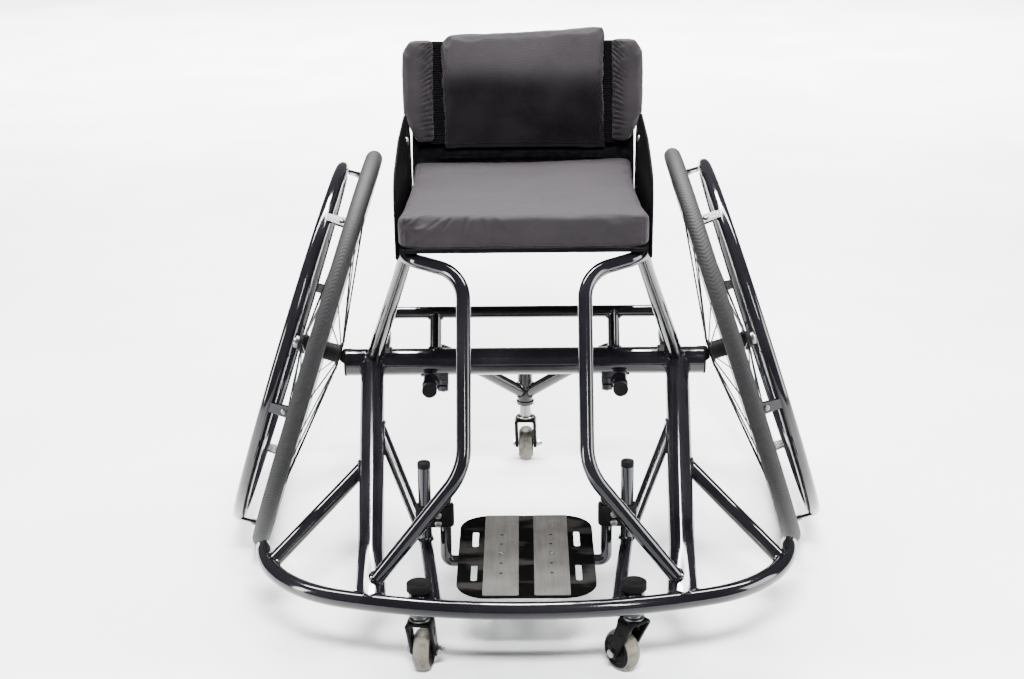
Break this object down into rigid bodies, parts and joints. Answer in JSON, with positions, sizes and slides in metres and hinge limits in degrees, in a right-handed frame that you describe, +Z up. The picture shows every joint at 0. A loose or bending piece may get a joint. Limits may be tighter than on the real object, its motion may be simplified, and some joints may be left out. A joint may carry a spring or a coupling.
{
  "type": "basketball wheelchair",
  "caption": "Sports wheelchair with a welded tube frame, cambered wheels with handrims, a wing bumper, a footrest and a rear anti-tip caster.",
  "frame": {"origin": "on the floor, at the middle of the area that the chair covers", "axes": "+Z up; the chair faces -Y, and +X is its own left side"},
  "size_m": [0.8726, 0.8148, 0.7291],
  "materials": {
    "gloss_black_paint": "gloss powder coat",
    "black_plastic": "satin",
    "fork_black": "satin",
    "guard_black": "gloss",
    "charcoal_nylon": "woven nylon",
    "black_webbing": "webbing",
    "tyre_rubber": "matt",
    "brushed_alloy": "brushed",
    "zinc_steel": "zinc plated",
    "caster_urethane": "semi-gloss",
    "grip_tape": "grit"
  },
  "bodies": {
    "frame": {"bumper_bar": "gloss_black_paint", "main_tube_left": "gloss_black_paint", "main_tube_right": "gloss_black_paint", "side_tube_left": "gloss_black_paint", "side_tube_right": "gloss_black_paint", "front_strut_left": "gloss_black_paint", "front_strut_right": "gloss_black_paint", "rear_struts": "gloss_black_paint", "wing_brace_left": "gloss_black_paint", "wing_brace_right": "gloss_black_paint", "lower_rail_left": "gloss_black_paint", "lower_rail_right": "gloss_black_paint", "camber_tube": "gloss_black_paint", "caster_barrel_left": "gloss_black_paint", "caster_barrel_right": "gloss_black_paint", "caster_cap_left": "black_plastic", "caster_cap_right": "black_plastic", "axle_insert_left": "black_plastic", "axle_insert_right": "black_plastic", "axle_pin_left": "zinc_steel", "axle_pin_right": "zinc_steel", "side_guard_left": "guard_black", "side_guard_right": "guard_black", "back_frame": "gloss_black_paint", "seat_sling": "black_webbing", "seat_cushion": "charcoal_nylon", "back_sling": "black_webbing", "back_pad": "charcoal_nylon", "side_pad_left": "charcoal_nylon", "side_pad_right": "charcoal_nylon"},
    "wheel_left": {"hub_left": "black_plastic", "rim_left": "gloss_black_paint", "tyre_left": "tyre_rubber", "handrim_left": "gloss_black_paint"},
    "wheel_right": {"hub_right": "black_plastic", "rim_right": "gloss_black_paint", "tyre_right": "tyre_rubber", "handrim_right": "gloss_black_paint"},
    "button_left": {"release_button_left": "brushed_alloy"},
    "button_right": {"release_button_right": "brushed_alloy"},
    "caster_left": {"caster_fork_left": "fork_black", "caster_bolt_left": "zinc_steel"},
    "caster_right": {"caster_fork_right": "fork_black", "caster_bolt_right": "zinc_steel"},
    "caster_rear": {"caster_fork_rear": "fork_black", "caster_bolt_rear": "zinc_steel"},
    "caster_wheel_left": {"caster_hub_left": "black_plastic", "caster_tyre_left": "caster_urethane"},
    "caster_wheel_right": {"caster_hub_right": "black_plastic", "caster_tyre_right": "caster_urethane"},
    "caster_wheel_rear": {"caster_hub_rear": "black_plastic", "caster_tyre_rear": "caster_urethane"},
    "footrest": {"footrest_clamp_left": "black_plastic", "footrest_clamp_right": "black_plastic", "footrest_hanger": "gloss_black_paint", "footplate": "black_plastic", "grip_strip_left": "grip_tape", "grip_strip_right": "grip_tape"},
    "anti_tip": {"anti_tip_frame": "gloss_black_paint"}
  },
  "joints": [
    {"name": "wheel_spin_left", "type": "hinge", "parent": "frame", "child": "wheel_left", "pos_m": [0.30702, 0.1035, 0.29021], "axis": [0.9511, 0, 0.309], "continuous": true},
    {"name": "wheel_spin_right", "type": "hinge", "parent": "frame", "child": "wheel_right", "pos_m": [-0.30702, 0.1035, 0.29021], "axis": [-0.9511, 0, 0.309], "continuous": true},
    {"name": "button_press_left", "type": "slide", "parent": "frame", "child": "button_left", "axis": [-0.9511, 0, -0.309], "range_m": [0, 0.004], "stiffness_N_per_m": 400, "springref_m": -0.002},
    {"name": "button_press_right", "type": "slide", "parent": "frame", "child": "button_right", "axis": [0.9511, 0, -0.309], "range_m": [0, 0.004], "stiffness_N_per_m": 400, "springref_m": -0.002},
    {"name": "caster_swivel_left", "type": "hinge", "parent": "frame", "child": "caster_left", "pos_m": [0.1367, -0.3588, 0.1], "axis": [0, 0, 1], "continuous": true},
    {"name": "caster_swivel_right", "type": "hinge", "parent": "frame", "child": "caster_right", "pos_m": [-0.1367, -0.3588, 0.1], "axis": [0, 0, 1], "continuous": true},
    {"name": "caster_swivel_rear", "type": "hinge", "parent": "anti_tip", "child": "caster_rear", "pos_m": [0, 0.3475, 0.1], "axis": [0, 0, 1], "continuous": true},
    {"name": "caster_spin_left", "type": "hinge", "parent": "caster_left", "child": "caster_wheel_left", "pos_m": [0.12316, -0.34146, 0.028], "axis": [0.788, 0.6157, 0], "continuous": true},
    {"name": "caster_spin_right", "type": "hinge", "parent": "caster_right", "child": "caster_wheel_right", "pos_m": [-0.13364, -0.33701, 0.028], "axis": [0.9903, -0.1392, 0], "continuous": true},
    {"name": "caster_spin_rear", "type": "hinge", "parent": "caster_rear", "child": "caster_wheel_rear", "pos_m": [0.00077, 0.36949, 0.028], "axis": [0.9994, -0.0349, 0], "continuous": true},
    {"name": "footrest_height", "type": "slide", "parent": "frame", "child": "footrest", "axis": [0, 0, 1], "range_m": [-0.006, 0.055]},
    {"name": "anti_tip_reach", "type": "slide", "parent": "frame", "child": "anti_tip", "axis": [0, 1, 0], "range_m": [-0.05, 0.015]}
  ]
}
